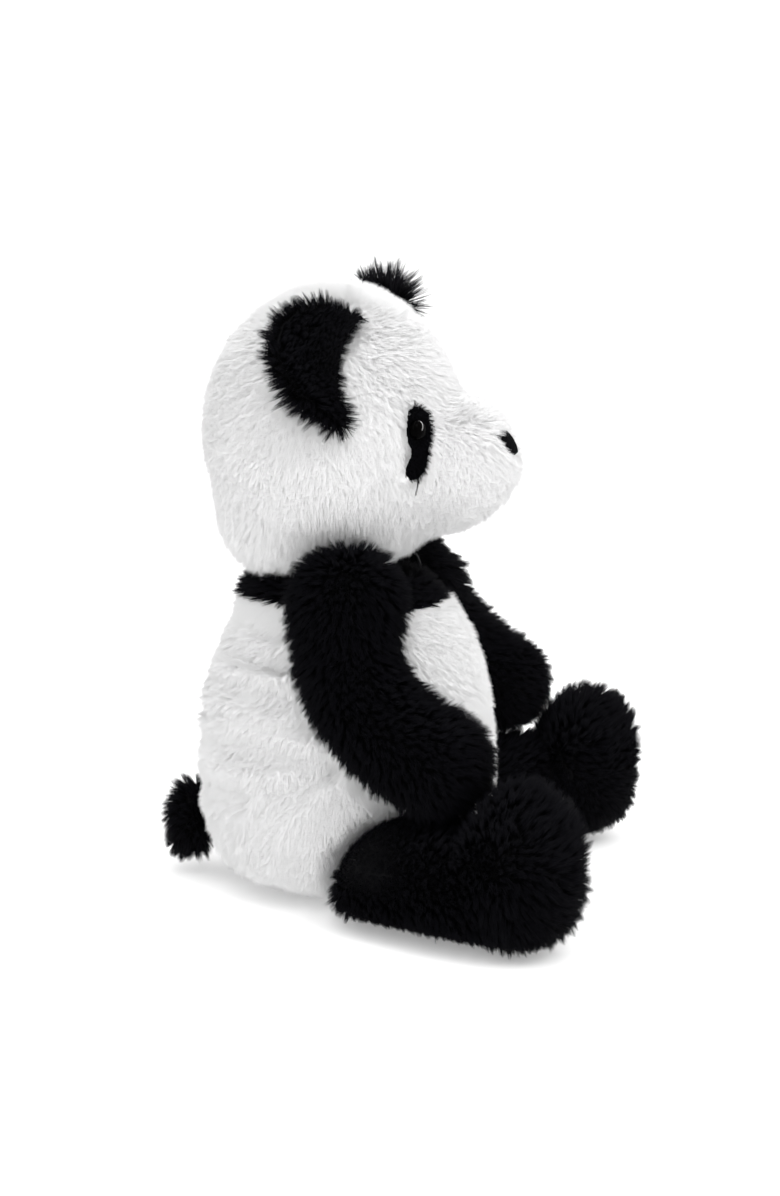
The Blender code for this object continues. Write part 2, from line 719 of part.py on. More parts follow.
clear_scene()
build_body()
build_neck()
build_head()
build_face()
build_ears()
build_arms()
build_legs()
build_tail()
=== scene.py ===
"""Plush panda, sitting: its pile, thread, eyes, floor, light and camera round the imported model."""

import math

import bpy
import numpy as np
from mathutils import Matrix, Vector, noise
from mathutils.bvhtree import BVHTree
from mathutils.kdtree import KDTree


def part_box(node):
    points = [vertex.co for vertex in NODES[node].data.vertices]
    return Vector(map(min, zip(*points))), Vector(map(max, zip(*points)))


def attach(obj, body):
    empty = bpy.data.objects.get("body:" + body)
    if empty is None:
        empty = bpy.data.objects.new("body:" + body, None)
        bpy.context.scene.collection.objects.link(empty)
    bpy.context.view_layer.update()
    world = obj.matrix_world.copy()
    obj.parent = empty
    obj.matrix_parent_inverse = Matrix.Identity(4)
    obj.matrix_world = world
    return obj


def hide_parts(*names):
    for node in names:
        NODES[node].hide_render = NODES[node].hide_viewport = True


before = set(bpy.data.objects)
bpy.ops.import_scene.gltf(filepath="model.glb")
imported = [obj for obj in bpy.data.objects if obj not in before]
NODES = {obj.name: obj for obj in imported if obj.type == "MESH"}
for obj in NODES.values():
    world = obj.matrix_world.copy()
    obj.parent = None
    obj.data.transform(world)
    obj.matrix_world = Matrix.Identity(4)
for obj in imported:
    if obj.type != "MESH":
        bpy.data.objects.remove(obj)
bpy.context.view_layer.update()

MM = 0.001
SIDES = {"left": 1.0, "right": -1.0}
UV_NAME = "OFBake"
DOWN = np.array((0.0, 0.0, -1.0))
# The lowest places of tufts, of a backing's outer side and of its inner side.
FLOOR_CLEAR = 0.3 * MM
FLOOR_OUTER = 1.2 * MM
FLOOR_INNER = 1.0 * MM
# How far a backing stays outside the stuffing, and how deep a tuft's root sits in it.
SKIN_CLEAR = 0.8 * MM
ROOT_DEPTH = 0.4 * MM
# How far out a node is looked for that covers the fur, and how far the fur stands up beside it.
COVER_REACH = 8 * MM
COVER_LIFT = 3.5 * MM
STITCH_PITCH = 0.42 * MM
STITCH_RADIUS = 0.3 * MM
STITCH_RINGS = 14
THREAD_RADIUS = 0.34 * MM
THREAD_SIDES = 6
# How deep the stitched nose sits, how much wider it and the bare place under it are than the node,
# and how fast its corners rise and the muzzle turns back, both per metre of width squared.
NOSE_INSET = 2.4 * MM
NOSE_WIDEN = 1.42
BARE_WIDEN = 1.2
NOSE_WING = 42.0
MUZZLE_ROUND = 60.0
# The first seed of each part's pile.
SEED = {
    "torso": 100,
    "head": 200,
    "arm": 300,
    "leg": 400,
    "ear": 500,
    "tail": 600,
    "neck": 620,
    "patch": 700,
    "nose": 900,
}


# ---------------------------------------------------------------- arrays and meshes


def unit(v):
    """Rows of v scaled to length 1."""
    return v / np.maximum(np.linalg.norm(v, axis=-1, keepdims=True), 1e-12)


def across(v, n):
    """What is left of the rows of v when their part along the unit normals n is taken out."""
    return v - n * np.sum(v * n, axis=-1, keepdims=True)


def ramp(x, low, high):
    """0 below low, 1 above high and a smooth step between."""
    t = np.clip((x - low) / (high - low), 0, 1)
    return t * t * (3 - 2 * t)


def mesh_arrays(mesh):
    """Vertex places and triangles of a mesh."""
    mesh.calc_loop_triangles()
    points = np.empty(len(mesh.vertices) * 3, np.float32)
    mesh.vertices.foreach_get("co", points)
    tris = np.empty(len(mesh.loop_triangles) * 3, np.int32)
    mesh.loop_triangles.foreach_get("vertices", tris)
    return points.reshape(-1, 3).astype(float), tris.reshape(-1, 3)


def new_mesh(name, points, faces, uv=None, normals=None):
    """A mesh from points and a list of face arrays (rows of 3 or of 4 corners), uv and normals per point.

    A normal of zero length leaves that point its own.
    """
    mesh = bpy.data.meshes.new(name)
    corners = np.concatenate([f.ravel() for f in faces]).astype(np.int32)
    totals = np.concatenate([np.full(len(f), f.shape[1]) for f in faces]).astype(np.int32)
    starts = np.concatenate(([0], np.cumsum(totals)[:-1])).astype(np.int32)
    mesh.vertices.add(len(points))
    mesh.vertices.foreach_set("co", np.ascontiguousarray(points, np.float32).ravel())
    mesh.loops.add(len(corners))
    mesh.loops.foreach_set("vertex_index", corners)
    mesh.polygons.add(len(totals))
    mesh.polygons.foreach_set("loop_start", starts)
    mesh.polygons.foreach_set("use_smooth", np.ones(len(totals), bool))
    mesh.update(calc_edges=True)
    if uv is not None:
        layer = mesh.uv_layers.new(name=UV_NAME)
        layer.data.foreach_set("uv", np.ascontiguousarray(uv[corners], np.float32).ravel())
    if normals is not None:
        mesh.normals_split_custom_set_from_vertices(normals.tolist())
    return mesh


def new_piece(name, mesh, material, body, replaced=()):
    """A shown object of the mesh that rides on a body, takes its finish from the given material and stands for
    nodes.
    """
    piece = bpy.data.objects.new(name, mesh)
    bpy.context.scene.collection.objects.link(piece)
    mesh.materials.append(material)
    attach(piece, body)
    if replaced:
        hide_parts(*replaced)
    return piece


def edges_of(tris):
    """Each edge of the triangles once, as a row of two points."""
    pairs = np.sort(np.concatenate((tris[:, (0, 1)], tris[:, (1, 2)], tris[:, (2, 0)])), axis=1)
    return np.unique(pairs, axis=0)


def gathered(values, index, size):
    """Sum of the rows of values that share an index."""
    return np.stack([np.bincount(index, values[:, k], size) for k in range(values.shape[1])], axis=1)


def relaxed(points, edges, rounds, fade=-0.53):
    """Points moved to their neighbours' middle and most of the way back, which takes steps off a surface."""
    ends = np.concatenate((edges[:, 0], edges[:, 1]))
    others = np.concatenate((edges[:, 1], edges[:, 0]))
    count = np.maximum(np.bincount(ends, minlength=len(points)), 1)[:, None]
    for _ in range(rounds):
        for share in (0.5, fade):
            middle = gathered(points[others], ends, len(points)) / count
            points = points + share * (middle - points)
    return points


def normals_of(points, tris):
    """The way out at each point, as the mean of the triangles round it."""
    a, b, c = (points[tris[:, k]] for k in range(3))
    face = np.cross(b - a, c - a)
    total = gathered(np.repeat(face, 3, axis=0), tris.ravel(), len(points))
    return unit(total)


# ---------------------------------------------------------------- the fabric's backing


def surface_of(names):
    """Vertex places and triangles of the named nodes as one surface."""
    points, tris, start = [], [], 0
    for name in names:
        p, t = mesh_arrays(NODES[name].data)
        points.append(p)
        tris.append(t + start)
        start += len(p)
    return np.concatenate(points), np.concatenate(tris)


def tree_of(*names):
    """A search tree of the named nodes' surfaces."""
    points, tris = surface_of(names)
    return BVHTree.FromPolygons(points.tolist(), tris.tolist())


def distance_to(names):
    """A function that gives each point's distance to the named nodes."""
    trees = [tree_of(name) for name in names]

    def measure(points):
        out = np.empty((len(points), len(trees)))
        for i, p in enumerate(points.tolist()):
            for j, tree in enumerate(trees):
                out[i, j] = tree.find_nearest(p)[3]
        return out

    return measure


def outer_skin(names, voxel):
    """One closed surface round the named nodes: points and triangles. Only its largest shell is kept."""
    points, tris = surface_of(names)
    mesh = new_mesh("skin", points, [tris])
    holder = bpy.data.objects.new("skin", mesh)
    bpy.context.scene.collection.objects.link(holder)
    cells = holder.modifiers.new("cells", "REMESH")
    cells.mode = "VOXEL"
    cells.voxel_size = voxel
    graph = bpy.context.evaluated_depsgraph_get()
    made = bpy.data.meshes.new_from_object(holder.evaluated_get(graph), depsgraph=graph)
    p, t = mesh_arrays(made)
    bpy.data.objects.remove(holder)
    bpy.data.meshes.remove(mesh)
    bpy.data.meshes.remove(made)
    label = np.arange(len(p))
    edges = edges_of(t)
    while True:
        low = np.minimum(label[edges[:, 0]], label[edges[:, 1]])
        before = label.copy()
        np.minimum.at(label, edges[:, 0], low)
        np.minimum.at(label, edges[:, 1], low)
        label = label[label]
        if np.array_equal(label, before):
            break
    kept = label == np.bincount(label).argmax()
    place = np.cumsum(kept) - 1
    return p[kept], place[t[kept[t[:, 0]]]]


CLOTH_FRAMES = 15
CLOTH_SETTINGS = {
    "quality": 5,
    "mass": 0.3,
    "tension_stiffness": 12,
    "compression_stiffness": 12,
    "bending_stiffness": 1.5,
    "use_pressure": True,
    "uniform_pressure_force": 4,
    "vertex_group_mass": "held",
}


def swollen(points, tris, held, cap):
    """The surface after air pressure from inside has filled it out between the held points, by cap at most."""
    mesh = new_mesh("swell", points, [tris])
    holder = bpy.data.objects.new("swell", mesh)
    bpy.context.scene.collection.objects.link(holder)
    holder.vertex_groups.new(name="held").add(np.flatnonzero(held).tolist(), 1.0, "REPLACE")
    cloth = holder.modifiers.new("cloth", "CLOTH")
    for key, value in CLOTH_SETTINGS.items():
        setattr(cloth.settings, key, value)
    cloth.settings.effector_weights.gravity = 0
    scene = bpy.context.scene
    for number in range(1, CLOTH_FRAMES + 1):
        scene.frame_set(number)
    graph = bpy.context.evaluated_depsgraph_get()
    moved = np.empty(len(points) * 3, np.float32)
    holder.evaluated_get(graph).data.vertices.foreach_get("co", moved)
    shift = moved.reshape(-1, 3) - points
    size = np.linalg.norm(shift, axis=1, keepdims=True)
    shift *= np.minimum(1, cap / np.maximum(size, 1e-9))
    bpy.data.objects.remove(holder)
    bpy.data.meshes.remove(mesh)
    scene.frame_set(1)
    return points + shift


def kept_outside(points, names, clear):
    """Points moved out to be at least clear outside the named nodes' surface."""
    tree = tree_of(*names)
    out = points.copy()
    for i, p in enumerate(points.tolist()):
        place, normal = tree.find_nearest(p)[:2]
        height = (Vector(p) - place).dot(normal)
        if height < clear:
            out[i] = Vector(p) + normal * (clear - height)
    return out


def distance_to_line(points, line):
    """Each point's distance to a line through the given corners."""
    best = np.full(len(points), np.inf)
    for a, b in zip(line[:-1], line[1:]):
        along = b - a
        share = np.clip((points - a) @ along / (along @ along), 0, 1)
        best = np.minimum(best, np.linalg.norm(points - a - share[:, None] * along, axis=1))
    return best


def waves(points, scale, seed):
    """Smooth noise from -1 to 1 at each point, with features of about the given size."""
    shift = Vector((seed * 7.1, seed * 3.7, seed * 1.3))
    return np.array([noise.noise(Vector(p) / scale + shift) for p in points.tolist()])


# How far a panel's edge gives way to its neighbours'.
SEAM_SHIFT = {"yoke_front": 2.6 * MM, "yoke_back_left": 2.0 * MM, "yoke_back_right": 2.0 * MM}
SEAM_WIDTH = 3 * MM
# Rounds that smooth a skin after it is made, after the air pressure and after its folds.
SMOOTH_MADE, SMOOTH_SWOLLEN, SMOOTH_FOLDED = 8, 10, 2
# Wrinkles lie level: their sizes, and how much the body's height counts more than its sides.
WRINKLE_SIZES = 22 * MM, 11 * MM
WRINKLE_SQUEEZE = np.array((0.6, 0.6, 1.5))
# How high the cloth bulges beside a fold, as a share of the fold's depth.
FOLD_BANK = 0.45


class Skin:
    """The backing of one body's fabric, with the panel that each triangle belongs to.

    It goes round the panels (names) and what they hold (inner), and lies sink deeper than the panels, and
    seam_depth deeper at their seams. puff is the most that air pressure fills it out, folds are lines with
    a width and a depth, and bulge gives how much fuller it is at each point.
    """

    def __init__(self, names, inner, voxel, sink, seam_depth, wrinkle=0.0, puff=0.0, folds=(), bulge=None):
        points, tris = outer_skin(names + inner, voxel)
        edges = edges_of(tris)
        points = relaxed(points, edges, SMOOTH_MADE)
        measure = distance_to(names)
        reach = np.sort(measure(points), axis=1)
        if len(names) > 1:
            self.seam = (reach[:, 1] - reach[:, 0]) / 2
        else:
            self.seam = np.full(len(points), 1.0)
        if puff:
            points = swollen(points, tris, self.seam < voxel, puff)
            points = relaxed(points, edges, SMOOTH_SWOLLEN)
        normals = normals_of(points, tris)
        drop = sink + seam_depth * np.exp(-((self.seam / SEAM_WIDTH) ** 2))
        if wrinkle:
            squeezed = points * WRINKLE_SQUEEZE
            drop = drop + wrinkle * np.abs(waves(squeezed, WRINKLE_SIZES[0], 1)) ** 1.2
            drop = drop + 0.5 * wrinkle * np.abs(waves(squeezed, WRINKLE_SIZES[1], 2))
        for line, width, depth in folds:
            far = distance_to_line(points, line)
            bank = np.exp(-(((far - 2 * width) / width) ** 2))
            drop = drop + depth * (np.exp(-((far / width) ** 2)) - FOLD_BANK * bank)
        if bulge is not None:
            drop = drop - bulge(points)
        points = relaxed(points - normals * drop[:, None], edges, SMOOTH_FOLDED)
        if inner:
            points = kept_outside(points, inner, SKIN_CLEAR)
        points[:, 2] = np.maximum(points[:, 2], FLOOR_OUTER)
        self.points, self.tris = points, tris
        self.normals = normals_of(points, tris)
        middles = points[tris].mean(axis=1)
        shift = np.array([SEAM_SHIFT.get(name, 0.0) for name in names])
        self.owner = (measure(middles) + shift).argmin(axis=1)
        self.names = names


def backing(skin, which, thick):
    """One panel's share of the skin as a closed sheet."""
    tris = skin.tris[which]
    used, local = np.unique(tris, return_inverse=True)
    tris = local.reshape(-1, 3)
    outer = skin.points[used]
    inner = outer - skin.normals[used] * thick
    inner[:, 2] = np.maximum(inner[:, 2], FLOOR_INNER)
    half = np.concatenate((tris[:, (0, 1)], tris[:, (1, 2)], tris[:, (2, 0)]))
    keys = set(map(tuple, half.tolist()))
    rim = np.array([(a, b) for a, b in half.tolist() if (b, a) not in keys])
    count = len(outer)
    faces = [np.concatenate((tris, tris[:, ::-1] + count))]
    if len(rim):
        faces.append(np.stack((rim[:, 1], rim[:, 0], rim[:, 0] + count, rim[:, 1] + count), axis=1))
    return np.concatenate((outer, inner)), faces


# ---------------------------------------------------------------- the pile


class Pile:
    """How a fabric's tufts stand: lengths and widths in mm, angles in degrees, tufts per square mm.

    lean is a tuft's angle at its root and its tip, clump the number of tufts that follow one leader, gather
    how far they close up to it, stray how far their ways differ, spread how far their lengths differ, and
    soft how much a tuft is shaded as the fabric under it is.
    """

    def __init__(self, length, width, density, lean, clump, gather, stray, spread, soft=0.0):
        self.length, self.width, self.density = length, width, density
        self.lean, self.clump, self.gather = lean, clump, gather
        self.stray, self.spread, self.soft = stray, spread, soft


# The lower part's share of a tuft's length, and the least length that still gets a tuft.
LOW_SHARE, HIGH_SHARE = 0.45, 0.55
LEAST_LENGTH = 0.05
# A tuft has three corners at its root and one at its tip: their steps of u and their places in v.
CORNER_U = 0.002 * np.array((0, 1, 2, 1))
CORNER_V = 0.05, 0.05, 0.05, 0.97


def strands(rng, skin, which, pile, comb, scale, shade, tilt):
    """Tapered tufts on some of the skin's triangles: points, faces, uv and the way each point is shaded.

    comb gives the way the pile lies at each skin point, scale its length there, shade its brightness and
    tilt the share of the pile's lean.
    """
    tris = skin.tris[which]
    a, b, c = (skin.points[tris[:, k]] for k in range(3))
    area = np.linalg.norm(np.cross(b - a, c - a), axis=1) / 2 / MM**2
    edge = np.cumsum(area)
    count = max(int(edge[-1] * pile.density), 4)
    at = (np.arange(count) + rng.random(count)) / count * edge[-1]
    face = np.minimum(np.searchsorted(edge, at), len(tris) - 1)
    r = rng.random((count, 2))
    flip = r.sum(axis=1) > 1
    r[flip] = 1 - r[flip]
    weights = np.stack((1 - r.sum(axis=1), r[:, 0], r[:, 1]), axis=1)

    def on_roots(values):
        return np.einsum("nk,nk...->n...", weights, values[tris[face]])

    root = on_roots(skin.points)
    normal = unit(on_roots(skin.normals))
    long = on_roots(scale)
    keep = long > LEAST_LENGTH
    root, normal, long = root[keep], normal[keep], long[keep]
    flow = unit(across(on_roots(comb)[keep], normal) + 1e-9)
    bright = on_roots(shade)[keep]
    leaning = on_roots(tilt)[keep]
    count = len(root)

    leaders = rng.choice(count, max(count // pile.clump, 1), replace=False)
    tree = KDTree(len(leaders))
    for i, p in enumerate(root[leaders].tolist()):
        tree.insert(p, i)
    tree.balance()
    mine = np.array([tree.find(p)[1] for p in root.tolist()])

    def curve(n, t, length, share, turn):
        """A tuft's lower and upper part, as vectors."""
        side = np.cross(n, t)
        t = t * np.cos(turn)[:, None] + side * np.sin(turn)[:, None]
        first, last = (np.radians(angle) * share for angle in pile.lean)
        low = n * np.cos(first)[:, None] + t * np.sin(first)[:, None]
        high = n * np.cos(last)[:, None] + t * np.sin(last)[:, None]
        return low * (LOW_SHARE * length)[:, None], high * (HIGH_SHARE * length)[:, None]

    lead = curve(
        normal[leaders],
        flow[leaders],
        pile.length * MM * long[leaders] * (1 + pile.spread * rng.normal(size=len(leaders)).clip(-1.5, 1.5)),
        leaning[leaders] * (1 + 0.25 * rng.normal(size=len(leaders)).clip(-1.5, 1.5)),
        np.radians(pile.stray) * rng.normal(size=len(leaders)),
    )
    own = curve(
        normal,
        flow,
        pile.length * MM * long * (1 + 0.6 * pile.spread * rng.normal(size=count).clip(-2, 1.2)),
        leaning * (1 + 0.2 * rng.normal(size=count).clip(-1.5, 1.5)),
        np.radians(pile.stray) * rng.normal(size=count),
    )
    offset = root - root[leaders][mine]
    shared = min(0.75, 3.5 * pile.gather)
    mid_lead = lead[0][mine] - offset * pile.gather * 0.35
    tip_lead = lead[0][mine] + lead[1][mine] - offset * pile.gather
    mid = root + (1 - shared) * own[0] + shared * mid_lead
    tip = root + (1 - shared) * (own[0] + own[1]) + shared * tip_lead
    # Only the tip shapes the tuft, but both take their draws where they would be under the floor.
    for place in (mid, tip):
        low = place[:, 2] < FLOOR_CLEAR
        place[low, 2] = FLOOR_CLEAR + 0.6 * MM * rng.random(low.sum())

    width = pile.width * MM * (0.7 + 0.6 * rng.random(count)) * np.sqrt(np.clip(long, 0.3, 1.5))
    foot = root - normal * ROOT_DEPTH
    end = unit(tip - root)
    turn = rng.random(count) * 2 * np.pi
    corners = len(CORNER_V)
    points = np.empty((count, corners, 3))
    facing = np.empty((count, corners, 3))
    side = unit(np.cross(end, normal + 0.3 * flow + 0.01))
    other = np.cross(end, side)
    for k in range(3):
        angle = turn + 2 * np.pi * k / 3
        ray = side * np.cos(angle)[:, None] + other * np.sin(angle)[:, None]
        points[:, k] = foot + ray * (width * 0.5)[:, None]
        facing[:, k] = ray
    points[:, -1] = tip
    facing[:, -1] = end
    facing = unit((1 - pile.soft) * facing + pile.soft * normal[:, None])
    points[:, :, 2] = np.maximum(points[:, :, 2], FLOOR_CLEAR)
    base = np.arange(count)[:, None] * corners
    faces = [base + np.array((k, (k + 1) % 3, 3)) for k in range(3)] + [base + np.array((2, 1, 0))]
    tone = np.clip(0.5 + 0.5 * bright + 0.16 * rng.normal(size=count), 0.02, 0.98)
    uv = np.empty((count, corners, 2))
    uv[:, :, 0] = tone[:, None] + CORNER_U
    uv[:, :, 1] = CORNER_V
    return points.reshape(-1, 3), np.concatenate(faces), uv.reshape(-1, 2), facing.reshape(-1, 3)


def plush(skin, index, pile, comb, scale, shade, material, body, slot, seed, fill=None, thick=1.2 * MM, tilt=None):
    """One panel of plush: its backing sheet and its tufts in one piece, standing for its node."""
    name = skin.names[index] + "_plush"
    which = skin.owner == index
    tilt = np.ones(len(skin.points)) if tilt is None else tilt
    sheet, faces = backing(skin, which, thick)
    rng = np.random.default_rng(seed)
    hairs, hair_faces, uv, facing = strands(rng, skin, which, pile, comb, scale, shade, tilt)
    flat = np.empty((len(sheet), 2))
    flat[:, 0] = np.linspace(0.3, 0.7, len(sheet))
    flat[:, 1] = 0.012 + 0.02 * (np.arange(len(sheet)) % 7) / 7
    mesh = new_mesh(
        name,
        np.concatenate((sheet, hairs)),
        faces + [hair_faces + len(sheet)],
        np.concatenate((flat, uv)),
        np.concatenate((np.zeros_like(sheet), facing)) if pile.soft else None,
    )
    piece = new_piece(name, mesh, material, body, (skin.names[index],))


def black_plush(skin, pile, comb, scale, shade, body, seed, **values):
    """Black plush on all of a skin's panels."""
    for index in range(len(skin.names)):
        plush(skin, index, pile, comb, scale, shade, BLACK, body, "black_plush", seed + index, **values)


# ---------------------------------------------------------------- materials


def principled(name, **values):
    """A material and its shader, with the given inputs set."""
    material = bpy.data.materials.new(name)
    material.use_nodes = True
    shader = material.node_tree.nodes["Principled BSDF"]
    for key, value in values.items():
        shader.inputs[key.replace("_", " ")].default_value = value
    return material, shader


def spanned(nodes, links, source, low, high):
    """A value from 0 to 1 taken to the span from low to high."""
    node = nodes.new("ShaderNodeMapRange")
    node.inputs["To Min"].default_value = low
    node.inputs["To Max"].default_value = high
    links.new(source, node.inputs["Value"])
    return node.outputs["Result"]


def plush_material(name, root, tip, rough_root, rough_tip, tone, **values):
    """Pile: v runs from a tuft's root to its tip, and u is how bright the tuft is."""
    material, shader = principled(name, **values)
    nodes, links = material.node_tree.nodes, material.node_tree.links
    coords = nodes.new("ShaderNodeUVMap")
    coords.uv_map = UV_NAME
    split = nodes.new("ShaderNodeSeparateXYZ")
    links.new(coords.outputs["UV"], split.inputs[0])
    colour = nodes.new("ShaderNodeValToRGB")
    colour.color_ramp.elements[0].color = (*root, 1)
    colour.color_ramp.elements[1].color = (*tip, 1)
    colour.color_ramp.elements[1].position = 0.75
    links.new(split.outputs["Y"], colour.inputs["Fac"])
    shaded = nodes.new("ShaderNodeVectorMath")
    shaded.operation = "SCALE"
    links.new(colour.outputs["Color"], shaded.inputs[0])
    links.new(spanned(nodes, links, split.outputs["X"], 1 - tone, 1 + tone), shaded.inputs["Scale"])
    links.new(shaded.outputs["Vector"], shader.inputs["Base Color"])
    links.new(spanned(nodes, links, split.outputs["Y"], rough_root, rough_tip), shader.inputs["Roughness"])
    return material


WHITE = plush_material(
    "white_pile",
    (0.95, 0.95, 0.95),
    (0.98, 0.98, 0.98),
    0.9,
    0.75,
    0.02,
    Sheen_Weight=0.1,
    Specular_IOR_Level=0.15,
)
BLACK = plush_material(
    "black_pile", (0.0006, 0.0006, 0.001), (0.0016, 0.0015, 0.0031), 0.75, 0.55, 0.3, Specular_IOR_Level=0.07
)
SHORT = plush_material(
    "short_black_pile", (0.0008, 0.0008, 0.0012), (0.0018, 0.0017, 0.0028), 0.8, 0.6, 0.3, Specular_IOR_Level=0.05
)


def plain_noise_material(name, low, high, scale, roughness, bumpy=True, **values):
    """A colour that wanders between two over the surface, with a fine bump where it is bumpy."""
    material, shader = principled(name, **values)
    nodes, links = material.node_tree.nodes, material.node_tree.links
    coords = nodes.new("ShaderNodeTexCoord")
    grain = nodes.new("ShaderNodeTexNoise")
    grain.inputs["Scale"].default_value = scale
    grain.inputs["Detail"].default_value = 4
    links.new(coords.outputs["Object"], grain.inputs["Vector"])
    colour = nodes.new("ShaderNodeMix")
    colour.data_type = "RGBA"
    colour.inputs[6].default_value = (*low, 1)
    colour.inputs[7].default_value = (*high, 1)
    links.new(grain.outputs["Fac"], colour.inputs["Factor"])
    links.new(colour.outputs[2], shader.inputs["Base Color"])
    if bumpy:
        bump = nodes.new("ShaderNodeBump")
        bump.inputs["Strength"].default_value = 0.3
        bump.inputs["Distance"].default_value = 0.5 * MM
        links.new(grain.outputs["Fac"], bump.inputs["Height"])
        links.new(bump.outputs["Normal"], shader.inputs["Normal"])
    shader.inputs["Roughness"].default_value = roughness
    return material


THREAD = plain_noise_material("seam_thread", (0.004, 0.004, 0.005), (0.012, 0.012, 0.014), 900, 0.6)
SATIN = plain_noise_material(
    "nose_thread", (0.0006, 0.0006, 0.0008), (0.0018, 0.0018, 0.0021), 1500, 0.6, Specular_IOR_Level=0.03
)
FIBRE = plain_noise_material("fibre", (0.72, 0.72, 0.7), (0.85, 0.85, 0.84), 300, 0.95)
WASHER = plain_noise_material("washer_plastic", (0.6, 0.6, 0.58), (0.68, 0.68, 0.66), 200, 0.4)
EYE = plain_noise_material(
    "eye_plastic", (0.0002, 0.0002, 0.0002), (0.0005, 0.0004, 0.0004), 400, 0.04, False, Specular_IOR_Level=0.01
)


# ---------------------------------------------------------------- the way the pile lies


def middle_of(*names):
    """The middle of the box round the named nodes."""
    corners = np.array([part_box(name) for name in names], float)
    return (corners[:, 0].min(axis=0) + corners[:, 1].max(axis=0)) / 2


def box_of(*names):
    """The low and the high corner of the box round the named nodes."""
    corners = np.array([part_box(name) for name in names], float)
    return corners[:, 0].min(axis=0), corners[:, 1].max(axis=0)


def even(skin, value=1.0):
    """The same value at all of a skin's points."""
    return np.full(len(skin.points), value)


def soft_shade(skin, seed):
    """Cloudy differences in brightness, in two sizes."""
    return 0.35 * waves(skin.points, 18 * MM, seed) + 0.25 * waves(skin.points, 6 * MM, seed + 1)


def bare_under(points, normals, name, full):
    """0 at the points that the named node covers, 1 from full beside it."""
    tree = tree_of(name)
    out = np.ones(len(points))
    for i, (p, n) in enumerate(zip(points.tolist(), normals.tolist())):
        if tree.find_nearest(p)[3] > COVER_REACH + full:
            continue
        if tree.ray_cast(p, n, COVER_REACH)[0] is not None:
            out[i] = 0
        else:
            lifted = Vector(p) + Vector(n) * COVER_LIFT
            out[i] = tree.find_nearest(lifted)[3] / full
    return ramp(out, 0.15, 1)


def on_nose(points, way, widen):
    """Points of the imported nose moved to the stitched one's wider, winged outline (way 1), or back (way -1)."""
    out = points.copy()
    out[:, 0] *= widen**way
    narrow = points[:, 0] if way > 0 else out[:, 0]
    wing = NOSE_WING * np.minimum(np.abs(narrow), 12 * MM) ** 2
    out[:, 1] += MUZZLE_ROUND * (out[:, 0] ** 2 - points[:, 0] ** 2) + way * 0.4 * wing
    out[:, 2] += way * wing
    return out


def combed(skin, way, seed, amount=0.35, size=16 * MM):
    """The direction of the lie, with the swirls that handling leaves."""
    swirl = np.stack([waves(skin.points, size, seed + k) for k in range(3)], axis=1)
    return unit(way) + amount * swirl


WHITE_PILE = Pile(7.4, 0.27, 4.4, (34, 48), 10, 0.18, 19, 0.11, soft=0.87)
BLACK_PILE = Pile(9.6, 0.28, 3.8, (30, 48), 24, 0.6, 18, 0.18)
EAR_PILE = Pile(10.0, 0.28, 4.2, (22, 40), 18, 0.6, 18, 0.2)
PATCH_PILE = Pile(3.4, 0.2, 9.0, (25, 50), 10, 0.5, 22, 0.22)


def round_body(low, high, turn, height, side):
    """A place on a body's side: degrees from its back and share of its height, on an egg round the box."""
    middle, half = (low + high) / 2, (high - low) / 2
    angle = math.radians(turn)
    swell = math.sqrt(max(1 - (2 * height - 0.85) ** 2 * 0.55, 0.1))
    return np.array(
        (
            side * half[0] * swell * math.sin(angle),
            middle[1] + half[1] * swell * math.cos(angle),
            low[2] + (high[2] - low[2]) * height,
        )
    )


def snapped(tree, line):
    """A line's corners, and points between them, moved to the nearest places on a surface."""
    steps = np.linspace(0, len(line) - 1, 12)
    whole = np.arange(len(line))
    spread = np.stack([np.interp(steps, whole, line[:, k]) for k in range(3)], axis=1)
    return np.array([tree.find_nearest(p)[0] for p in spread.tolist()])


# Folds where the stuffed body bends: corners as (degrees from the back, share of the height), width
# and depth in mm.
BODY_FOLDS = [
    (((38, 0.79), (55, 0.785), (72, 0.78)), 4.5, 2.6),
    (((22, 0.665), (57, 0.69), (74, 0.68)), 5.0, 3.2),
    (((20, 0.49), (62, 0.52), (96, 0.5)), 5.5, 3.4),
    (((14, 0.33), (38, 0.35), (58, 0.37)), 5.0, 2.6),
    (((94, 0.5), (70, 0.33), (60, 0.17)), 6.0, 3.0),
    (((8, 0.58), (28, 0.56), (44, 0.6)), 4.5, 2.2),
    (((112, 0.44), (128, 0.3), (140, 0.26)), 6.0, 2.4),
]
# How much wider and deeper than listed the folds are made, and how much higher on the left side.
FOLD_WIDER, FOLD_DEEPER = 0.85, 1.6
LEFT_HIGHER = 0.03
# The darts that round the back of the head, in the same way.
HEAD_DARTS = [(((36, 0.445), (50, 0.42), (62, 0.395)), 2.6, 3.2), (((12, 0.6), (22, 0.52)), 2.4, 1.8)]


def folds_on(names, lines):
    """The lines of folds on both sides of a body, as (corners, width, depth) in metres."""
    low, high = box_of(*names)
    tree = tree_of(*names)
    out = []
    for corners, width, depth in lines:
        for side in SIDES.values():
            shift = 0 if side < 0 else LEFT_HIGHER
            line = np.array([round_body(low, high, turn, height + shift, side) for turn, height in corners])
            out.append((snapped(tree, line), FOLD_WIDER * width * MM, FOLD_DEEPER * depth * MM))
    return out


# The body.
TORSO = [
    "belly_panel",
    "back_panel_left",
    "back_panel_right",
    "seat_panel",
    "yoke_front",
    "yoke_back_left",
    "yoke_back_right",
]


def collar_swell(points):
    """How much the stuffing fills the collar out behind the neck."""
    return 6 * MM * ramp(points[:, 2], 132 * MM, 148 * MM) * ramp(points[:, 1], 15 * MM, 45 * MM)


